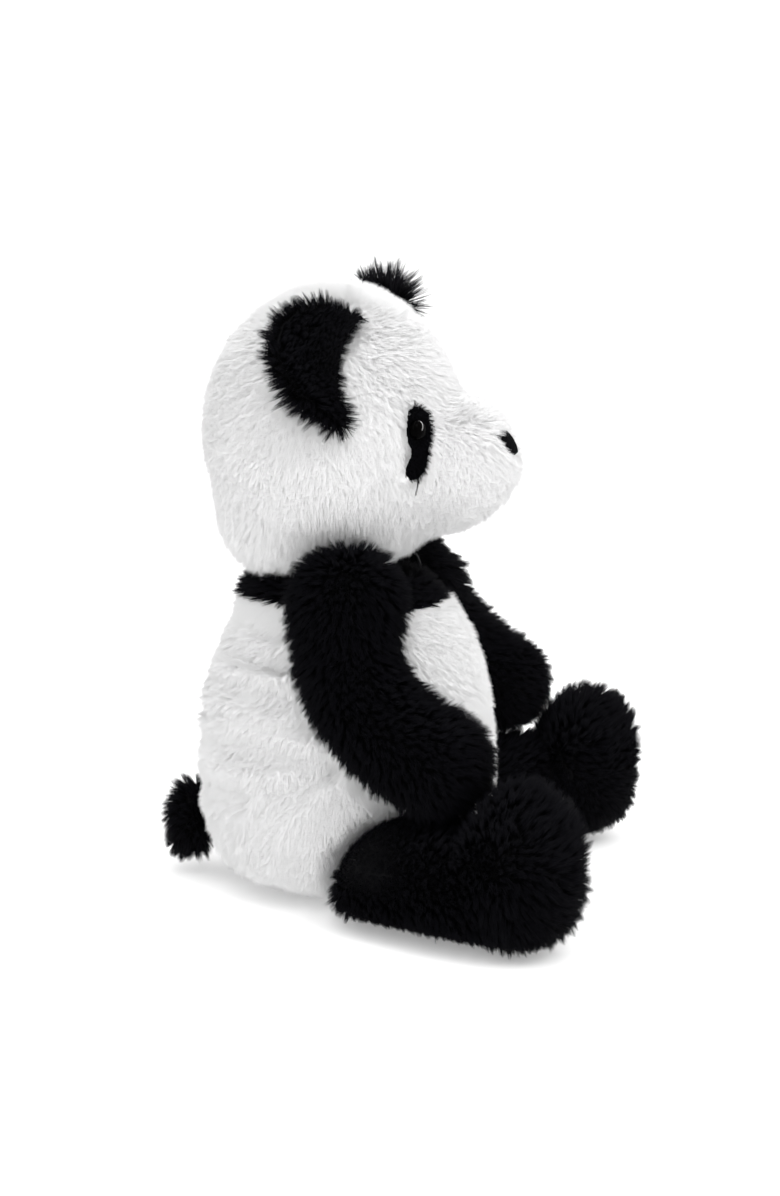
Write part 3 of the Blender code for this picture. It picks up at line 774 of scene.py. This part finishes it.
torso = Skin(
    TORSO,
    ["body_stuffing"],
    3 * MM,
    2.4 * MM,
    1.0 * MM,
    wrinkle=0.9 * MM,
    puff=3 * MM,
    folds=folds_on(TORSO, BODY_FOLDS),
    bulge=collar_swell,
)
torso_comb = combed(torso, np.tile(DOWN, (len(torso.points), 1)) + 0.4 * torso.normals, 11, 0.35, 24 * MM)
torso_shade = soft_shade(torso, 3)
not_under = ramp(torso.normals[:, 2], -0.95, -0.5)
for index, name in enumerate(TORSO):
    white = "yoke" not in name
    plush(
        torso,
        index,
        WHITE_PILE if white else BLACK_PILE,
        torso_comb,
        (0.35 + 0.65 * not_under) * (0.7 if name == "yoke_front" else 1),
        torso_shade,
        WHITE if white else BLACK,
        "torso",
        "white_plush" if white else "black_plush",
        SEED["torso"] + index,
        fill=0.8,
    )

# What shows of an eye patch: height above the eye, then how far it reaches to the rear and to the
# front, all in mm along the face.
PATCH_ROWS = np.array(
    (
        (11.0, -1.0, 1.5),
        (9.0, -4.6, 8.2),
        (4.5, -5.4, 11.4),
        (0.0, -5.6, 13.6),
        (-5.5, -4.6, 11.6),
        (-9.0, -1.8, 9.2),
        (-12.0, -1.2, 9.4),
        (-17.0, -3.4, 9.4),
        (-20.5, -2.6, 8.4),
        (-23.5, -1.6, 5.4),
        (-25.5, 0.0, 2.0),
    )
)[::-1]


FACE_DEPTH = 16


class EyePlace:
    """Where an eye sits: its middle, its axis, and the ways to the front and up along the face."""

    def __init__(self, side_name):
        self.cad = mesh_arrays(NODES["eye_" + side_name].data)[0]
        self.middle = self.cad.mean(axis=0)
        self.axis = unit(self.middle - mesh_arrays(NODES["eye_washer_" + side_name].data)[0].mean(axis=0))
        self.up = unit(across(-DOWN, self.axis))
        self.front = unit(across(np.array((0.0, -1.0, 0.0)), self.axis))

    def inside(self, points):
        """How far the points are inside the patch's outline, in mm, less than 0 outside.

        Points further than FACE_DEPTH along the eye's axis, such as the far side of the head, are outside.
        """
        local = (points - self.middle) / MM
        high, ahead = local @ self.up, local @ self.front
        rear = np.interp(high, PATCH_ROWS[:, 0], PATCH_ROWS[:, 1])
        front = np.interp(high, PATCH_ROWS[:, 0], PATCH_ROWS[:, 2])
        depth = np.minimum(ahead - rear, front - ahead)
        depth = np.minimum(depth, np.minimum(high - PATCH_ROWS[0, 0], PATCH_ROWS[-1, 0] - high))
        return np.where(np.abs(local @ self.axis) < FACE_DEPTH, depth, -FACE_DEPTH)

    def ahead_of(self, points):
        """1 at the points just in front of the patch, 0 from 4 mm away and behind it."""
        return ramp(self.inside(points), -4, -1) * (((points - self.middle) @ self.front) > 3 * MM)


EYES = {side_name: EyePlace(side_name) for side_name in SIDES}

# The head.
HEAD = [
    "head_gusset",
    "head_back",
    "chin_panel",
    "muzzle_left",
    "muzzle_right",
    "head_side_left",
    "head_side_right",
]
# The bridge of the nose, from the face's right side to its left, in mm.
BRIDGE = np.array(((-36, -37, 231), (-24, -46, 236), (0, -55, 239), (24, -46, 236), (36, -37, 231))) * MM
BRIDGE_REACH = 15 * MM
BRIDGE_SWELL = 4 * MM
NAPE_SWELL = 9 * MM
NOSE_MIDDLE = middle_of("nose")


def head_swell(points):
    """How much fuller the head is low down behind and over the bridge of the nose."""
    nape = (1 - ramp(points[:, 2], 165 * MM, 210 * MM)) * ramp(points[:, 1], 20 * MM, 60 * MM)
    bridge = np.exp(-((distance_to_line(points, BRIDGE) / BRIDGE_REACH) ** 2))
    bridge = bridge * ramp(np.linalg.norm(points - NOSE_MIDDLE, axis=1), 7 * MM, 17 * MM)
    return NAPE_SWELL * nape + BRIDGE_SWELL * bridge


head = Skin(
    HEAD,
    ["head_stuffing"],
    3 * MM,
    2.4 * MM,
    0.8 * MM,
    wrinkle=0.7 * MM,
    puff=3 * MM,
    folds=folds_on(HEAD, HEAD_DARTS),
    bulge=head_swell,
)
head_low, head_high = box_of(*HEAD)

# The pile lies down and away from the crown. It is longest low down, and stands up more at the crown and
# the nape. Where the nose and the eye patches are, there is none.
from_nose = head.points - NOSE_MIDDLE
muzzle = 1 - ramp(np.linalg.norm(from_nose, axis=1), 20 * MM, 55 * MM)
by_nose = muzzle * ramp(from_nose[:, 2], -24 * MM, -8 * MM)
crown = np.array((0, middle_of(*HEAD)[1] + 10 * MM, head_high[2]))
head_way = unit(head.points - crown) * 0.6 + DOWN
by_crown = 1 - ramp(np.linalg.norm(head.points - crown, axis=1), 8 * MM, 34 * MM)
for place in EYES.values():
    beside = place.ahead_of(head.points)[:, None]
    head_way = head_way * (1 - beside) + beside * (0.7 * place.front + 0.6 * DOWN)
head_comb = combed(head, head_way, 21, 0.22, 24 * MM)
hanging = 1 - ramp(head.points[:, 2], head_low[2] + 12 * MM, head_low[2] + 40 * MM)
nape = ramp(head.points[:, 1], 40 * MM, 75 * MM) * hanging
head_tilt = 1 - 0.1 * by_nose - 0.3 * nape - 0.6 * by_crown
beside_nose = bare_under(on_nose(head.points, -1, BARE_WIDEN), head.normals, "nose", 1.2 * MM)
head_scale = (1 + 0.45 * hanging) * (1 + 0.1 * by_nose) * beside_nose
for place in EYES.values():
    head_scale = head_scale * ramp(-place.inside(head.points), -1.0, 1.2)
head_shade = soft_shade(head, 5)
for index in range(len(HEAD)):
    plush(
        head,
        index,
        WHITE_PILE,
        head_comb,
        head_scale,
        head_shade,
        WHITE,
        "head",
        "white_plush",
        SEED["head"] + index,
        fill=0.85,
        tilt=head_tilt,
    )

# The face: short pile on the eye patches, turned eyes and a nose of satin stitches.


def turned(centre, axis, profile, turns):
    """A closed body turned about an axis, from (radius, height) base to top: points, quads and end triangles."""
    side = unit(np.cross(axis, (0.0, 0.0, 1.0)))
    other = np.cross(axis, side)
    angles = 2 * np.pi * np.arange(turns) / turns
    rays = np.cos(angles)[:, None] * side + np.sin(angles)[:, None] * other
    points = np.concatenate([centre + axis * height + rays * radius for radius, height in profile])
    points = np.concatenate((points, [centre + axis * profile[0][1], centre + axis * profile[-1][1]]))
    rings = len(profile)
    quads, caps = [], []
    for k in range(turns):
        m = (k + 1) % turns
        for i in range(rings - 1):
            quads.append((i * turns + k, i * turns + m, (i + 1) * turns + m, (i + 1) * turns + k))
        caps.append((rings * turns, m, k))
        caps.append((rings * turns + 1, (rings - 1) * turns + k, (rings - 1) * turns + m))
    return points, np.array(quads), np.array(caps)


def tube(path, radius, sides):
    """A closed thread along a path of points: points, quads and end triangles."""
    along = unit(np.gradient(path, axis=0))
    side = unit(np.cross(along, (1.0, 0.0, 0.0)))
    other = np.cross(along, side)
    angles = 2 * np.pi * np.arange(sides) / sides
    thin = np.full(len(path), radius)
    thin[[0, -1]] *= 0.5
    rays = np.cos(angles)[None, :, None] * side[:, None] + np.sin(angles)[None, :, None] * other[:, None]
    points = (path[:, None] + rays * thin[:, None, None]).reshape(-1, 3)
    quads = [
        (i * sides + k, i * sides + (k + 1) % sides, (i + 1) * sides + (k + 1) % sides, (i + 1) * sides + k)
        for i in range(len(path) - 1)
        for k in range(sides)
    ]
    last = (len(path) - 1) * sides
    caps = [(0, k + 1, k) for k in range(1, sides - 1)]
    caps += [(last, last + k, last + k + 1) for k in range(1, sides - 1)]
    return points, np.array(quads), np.array(caps)


def joined(parts):
    """Several (points, quads, triangles) as one."""
    points, quads, tris, start = [], [], [], 0
    for p, q, t in parts:
        points.append(p)
        quads.append(q + start)
        tris.append(t + start)
        start += len(p)
    return np.concatenate(points), [np.concatenate(quads), np.concatenate(tris)]


EYE_DOMES = []
head_tree = tree_of(*HEAD)
for number, (side_name, place) in enumerate(EYES.items()):
    name = "eye_patch_" + side_name
    patch = Skin([name], [], 0.8 * MM, 0.35 * MM, 0.0)
    inside = place.inside(patch.points)
    shown = (patch.normals @ place.axis > 0.35) & (inside > 0)
    patch.owner = np.where(shown[patch.tris].all(axis=1), 0, 1)

    # The eye's radius, its top, and the height at which it stops widening.
    radial = np.linalg.norm(across(patch.points - place.middle, place.axis), axis=1)
    along = (place.cad - place.middle) @ place.axis
    wide_at = np.linalg.norm(across(place.cad - place.middle, place.axis), axis=1)
    wide, top = wide_at.max(), along.max()
    bottom = along[wide_at > 0.98 * wide].min()
    away = (patch.points - place.middle) / wide
    plush(
        patch,
        0,
        PATCH_PILE,
        combed(patch, away * 0.5 + DOWN * 0.8, 81),
        0.4 + 0.6 * ramp(radial, wide, wide + 2 * MM),
        soft_shade(patch, 15),
        SHORT,
        "head",
        "short_plush",
        SEED["patch"] + number,
        thick=0.4 * MM,
    )
    rise = top - bottom
    profile = [(wide * 0.5, bottom - 0.2 * rise), (wide * 0.92, bottom - 0.1 * rise)]
    arc = np.linspace(0, math.pi / 2, 18)[:-1]
    profile += [(wide * math.cos(a) ** 0.9, bottom + rise * math.sin(a)) for a in arc]
    points, quads, caps = turned(place.middle, place.axis, profile + [(wide * 0.02, top)], 56)
    mesh = new_mesh("eye_" + side_name + "_dome", points, [quads, caps])
    EYE_DOMES.append(new_piece(mesh.name, mesh, EYE, "head", ("eye_" + side_name,)))

    # The end of the patch's stitching runs on below it.
    heights = np.linspace(PATCH_ROWS[0, 0] + 3, PATCH_ROWS[0, 0] - 5, 9) * MM
    line = place.middle + heights[:, None] * place.up + 5 * MM * place.front
    found = [head_tree.ray_cast(corner + place.axis * 20 * MM, -place.axis) for corner in line]
    path = np.array([tuple(hit[0] + hit[1] * 1.6 * MM) for hit in found if hit[0] is not None])
    points, quads, caps = tube(path, THREAD_RADIUS, THREAD_SIDES)
    mesh = new_mesh(name + "_thread", points, [quads, caps])
    new_piece(mesh.name, mesh, THREAD, "head")

# The nose: upright stitches side by side, on a pad.
nose_tree = tree_of("nose")
nose_low, nose_high = box_of("nose")
threads = []
rng = np.random.default_rng(SEED["nose"])
for x in np.arange(nose_low[0] + 0.3 * MM, nose_high[0] - 0.2 * MM, STITCH_PITCH):
    rows = np.linspace(nose_low[2] - 1 * MM, nose_high[2] + 1 * MM, 40)
    hits = [nose_tree.ray_cast((x, nose_low[1] - 20 * MM, z), (0, 1, 0)) for z in rows]
    places = np.array([tuple(h[0]) + tuple(h[1]) for h in hits if h[0] is not None])
    if len(places) < 4:
        continue
    path, normal = places[:, :3], places[:, 3:]
    keep = np.linspace(0, len(path) - 1, STITCH_RINGS).round().astype(int)
    arched = np.sin(np.linspace(0, np.pi, STITCH_RINGS)) ** 0.5
    path = path[keep] + normal[keep] * ((arched[:, None] * 0.25 - 0.35) * MM - NOSE_INSET)
    path += np.array((1.0, 0.0, 0.0)) * 0.08 * MM * rng.normal()
    path[[0, -1]] += normal[keep][[0, -1]] * -0.8 * MM
    path = on_nose(path, 1, NOSE_WIDEN)
    threads.append(tube(path, NOSE_WIDEN * STITCH_RADIUS * (0.9 + 0.2 * rng.random()), THREAD_SIDES))
points, faces = joined(threads)
pad = Skin(["nose"], [], 0.5 * MM, 0.45 * MM, 0.0)
pad.points[:, 1] += NOSE_INSET
pad.points = on_nose(pad.points, 1, NOSE_WIDEN)
pad_points, pad_faces = backing(pad, np.ones(len(pad.tris), bool), 0.3 * MM)
mesh = new_mesh(
    "nose_stitches", np.concatenate((pad_points, points)), pad_faces + [f + len(pad_points) for f in faces]
)
new_piece(mesh.name, mesh, SATIN, "head", ("nose",))


def right_shoulder(points):
    """How much fuller the right arm is at its top."""
    return 3.5 * MM * ramp(points[:, 2], 131 * MM, 161 * MM)


def left_shoulder(points):
    """How much fuller the left arm is in front of its shoulder."""
    height = points[:, 2]
    front = ramp(-points[:, 1], -8 * MM, 10 * MM)
    return 6 * MM * front * ramp(height, 104 * MM, 122 * MM) * (1 - ramp(height, 145 * MM, 160 * MM))


# Limbs and ears. The two sides differ a little in the length of their pile.
for side_name, side in SIDES.items():
    number = 0 if side > 0 else 50
    names = [f"arm_{side_name}_outer", f"arm_{side_name}_inner"]
    low, high = box_of(*names)
    swell = right_shoulder if side < 0 else left_shoulder
    stuffing = [f"arm_stuffing_{side_name}"]
    arm = Skin(names, stuffing, 2.6 * MM, 2.4 * MM, 0.6 * MM, wrinkle=0.8 * MM, puff=2 * MM, bulge=swell)
    shoulder = np.array((side * 58 * MM, 6 * MM, high[2]))
    elbow = np.array((side * (high[0] if side > 0 else -low[0]) - side * 28 * MM, 0, (low[2] + high[2]) / 2))
    paw = np.array(((low[0] + high[0]) / 2 + side * 10 * MM, low[1], low[2] + 18 * MM))
    height = arm.points[:, 2]
    drop = ramp(-height, -elbow[2] - 15 * MM, -elbow[2] + 15 * MM)[:, None]
    way = unit(elbow - shoulder) * (1 - drop) + unit(paw - elbow) * drop
    short = even(arm)
    if side > 0:
        short = 0.68 + 0.32 * ramp(height, 85 * MM, 120 * MM) - 0.5 * ramp(height, 148 * MM, 165 * MM)
    comb = combed(arm, way, 31 + number, 0.45)
    shade = soft_shade(arm, 7 + number)
    black_plush(arm, BLACK_PILE, comb, short, shade, "arm_" + side_name, SEED["arm"] + number, fill=0.8)

    names = [f"leg_{side_name}_outer", f"leg_{side_name}_inner", f"foot_sole_{side_name}"]
    stuffing = [f"leg_stuffing_{side_name}"]
    leg = Skin(names, stuffing, 2.6 * MM, 2.4 * MM, 0.8 * MM, wrinkle=0.8 * MM, puff=2 * MM)
    sole_low, sole_high = box_of(names[2])
    foot = (sole_low + sole_high) / 2 + np.array((-side * 6 * MM, 24 * MM, 0))
    on_foot = 1 - ramp(leg.points[:, 1], sole_high[1] + 6 * MM, sole_high[1] + 34 * MM)[:, None]
    ahead = unit(np.array((side * 0.37, -0.93, 0.0)))
    way = np.tile(ahead, (len(leg.points), 1)) * (1 - on_foot)
    way = way + unit(leg.points - foot) * on_foot * 1.3
    not_under = ramp(leg.normals[:, 2], -0.95, -0.5)
    low_foot = even(leg) if side < 0 else 0.7 + 0.4 * ramp(leg.points[:, 2], 38 * MM, 62 * MM)
    by_hip = ramp(leg.points[:, 1], -38 * MM, -12 * MM) * ramp(leg.points[:, 2], 15 * MM, 30 * MM)
    short = (0.3 + 0.7 * not_under) * (1 - 0.7 * by_hip) * low_foot
    comb = combed(leg, way, 41 + number, 0.4)
    shade = soft_shade(leg, 9 + number)
    black_plush(leg, BLACK_PILE, comb, short, shade, "leg_" + side_name, SEED["leg"] + number, fill=0.85)

    names = [f"ear_{side_name}_front", f"ear_{side_name}_back"]
    ear = Skin(names, [], 1.7 * MM, 0.7 * MM, 0.0)
    low, high = box_of(*names)
    root = (low + high) / 2 - np.array((side * 14 * MM, 6 * MM, 2 * MM))
    rim = 1 - ramp(ear.seam, 0.0, 7 * MM)
    outer = ramp(np.linalg.norm(ear.points - root, axis=1), 18 * MM, 30 * MM)
    ahead = ramp(root[1] - ear.points[:, 1], -12 * MM, 12 * MM)
    if side < 0:
        reach = (1.08 - 0.38 * ramp(ear.points[:, 2], 248 * MM, 268 * MM)) * (1 - 0.3 * ahead)
    else:
        reach = 0.65 + 0.8 * ahead + 0.4 * ramp(ear.points[:, 2], 270 * MM, 288 * MM)
    longer = (0.8 + 0.35 * rim * outer) * reach
    comb = combed(ear, unit(ear.points - root), 61 + number, 0.3)
    shade = soft_shade(ear, 11 + number)
    tilt = 1 - 0.35 * rim
    seed = SEED["ear"] + number
    black_plush(ear, EAR_PILE, comb, longer, shade, "ear_" + side_name, seed, thick=0.9 * MM, tilt=tilt)

# The tail.
names = ["tail_upper", "tail_lower"]
tail = Skin(names, ["tail_stuffing"], 2.2 * MM, 2.0 * MM, 0.5 * MM)
low, high = box_of(*names)
root = np.array((0, low[1] - 6 * MM, (low[2] + high[2]) / 2))
comb = combed(tail, unit(tail.points - root) + 0.4 * DOWN, 71, 0.4)
black_plush(tail, BLACK_PILE, comb, even(tail, 0.9), soft_shade(tail, 13), "tail", SEED["tail"], fill=0.8)

# The neck: short black plush over its plug, which shows when the head tips back.
neck = Skin(["neck_stuffing"], [], 2.2 * MM, 0.3 * MM, 0)
comb = combed(neck, np.tile(DOWN, (len(neck.points), 1)), 81, 0.4)
black_plush(neck, PATCH_PILE, comb, even(neck), soft_shade(neck, 15), "neck", SEED["neck"])

# ---------------------------------------------------------------- nodes that stay as packed

for name, node in NODES.items():
    if "stuffing" in name:
        look = FIBRE
    elif "washer" in name:
        look = WASHER
    elif "seam" in name:
        look = THREAD
    else:
        continue
    node.data.materials.clear()
    node.data.materials.append(look)

# ---------------------------------------------------------------- floor, light and camera


FLOOR_RINGS = 0.6, 2.5, 8.0, 30.0
FLOOR_TURNS = 64


def stage_mesh():
    """A wide round floor."""
    points, faces = [], [tuple(range(FLOOR_TURNS))]
    for radius in FLOOR_RINGS:
        for k in range(FLOOR_TURNS):
            a = 2 * math.pi * k / FLOOR_TURNS
            points.append((radius * math.cos(a), radius * math.sin(a), 0))
    for inner in range(0, (len(FLOOR_RINGS) - 1) * FLOOR_TURNS, FLOOR_TURNS):
        outer = inner + FLOOR_TURNS
        for k in range(FLOOR_TURNS):
            m = (k + 1) % FLOOR_TURNS
            faces.append((inner + k, outer + k, outer + m, inner + m))
    mesh = bpy.data.meshes.new("floor")
    mesh.from_pydata(points, [], faces)
    return mesh


floor = bpy.data.objects.new("floor", stage_mesh())
bpy.context.scene.collection.objects.link(floor)
floor_look = principled(
    "floor", Base_Color=(0.82, 0.82, 0.82, 1), Roughness=0.9, Emission_Color=(1, 1, 1, 1), Emission_Strength=0.24
)[0]
floor.data.materials.append(floor_look)


def look_at(place, target, along):
    """The turn that looks from place to target with the sideways axis along a direction."""
    back = (place - target).normalized()
    side = (along - back * along.dot(back)).normalized()
    return Matrix((side, back.cross(side), back)).transposed().to_quaternion()


def area_light(name, place, target, size, power, along=(0, 1, 0), lit=()):
    """A soft rectangular light, its first side along a direction. It lights only the pieces in lit, if any."""
    data = bpy.data.lights.new(name, "AREA")
    data.shape = "RECTANGLE"
    data.size, data.size_y = size
    data.energy = power
    lamp = bpy.data.objects.new(name, data)
    lamp.location = place
    lamp.rotation_mode = "QUATERNION"
    lamp.rotation_quaternion = look_at(Vector(place), Vector(target), Vector(along))
    bpy.context.scene.collection.objects.link(lamp)
    if lit:
        data.cycles.max_bounces = 0
        group = bpy.data.collections.new(name + "_lit")
        for piece in lit:
            group.objects.link(piece)
        lamp.light_linking.receiver_collection = group
        lamp.light_linking.blocker_collection = group


CHEST = 0, 0, 0.2
area_light("strip", (-0.75, -0.1, 1.25), CHEST, (0.15, 3.0), 13)
area_light("key", (-0.85, -1.25, 1.6), CHEST, (0.8, 0.8), 12.5)
# A thin light that only the eyes mirror, as a narrow arc.
EYE_LIGHT_AWAY = 1.15 * unit(np.array((0.588, -0.719, 0.37)))
EYE_LIGHT_ALONG = 0.686, 1.024, 0.878
eye = EYES["right"].middle
area_light("eye_light", eye + EYE_LIGHT_AWAY, eye, (1.7, 0.16), 150, EYE_LIGHT_ALONG, EYE_DOMES)

bpy.context.scene.view_settings.view_transform = "Standard"
world = bpy.data.worlds.new("world")
bpy.context.scene.world = world
world.use_nodes = True
world.node_tree.nodes["Background"].inputs["Color"].default_value = (1, 1, 1, 1)
world.node_tree.nodes["Background"].inputs["Strength"].default_value = 1.34

# The camera looks at the body's middle from its right, a little from the front and from above, and aims
# a little to the left of it and above it.
VIEW_TURN, VIEW_RISE, VIEW_AWAY = math.radians(12.5), math.radians(11), 1.3
AIM_LEFT, AIM_UP = 4.9 * MM, 5.88 * MM
target = Vector((0, -0.007, 0.139))
back_way = Vector(
    (
        -math.cos(VIEW_TURN) * math.cos(VIEW_RISE),
        -math.sin(VIEW_TURN) * math.cos(VIEW_RISE),
        math.sin(VIEW_RISE),
    )
)
right = Vector((math.sin(VIEW_TURN), -math.cos(VIEW_TURN), 0))
up = right.cross(-back_way)
aim = target - right * AIM_LEFT + up * AIM_UP
camera_data = bpy.data.cameras.new("camera")
camera_data.lens = 79.86
camera_data.sensor_width = 36
camera = bpy.data.objects.new("camera", camera_data)
camera.location = aim + back_way * VIEW_AWAY
camera.rotation_mode = "QUATERNION"
camera.rotation_quaternion = look_at(camera.location, aim, right)
bpy.context.scene.collection.objects.link(camera)
bpy.context.scene.camera = camera
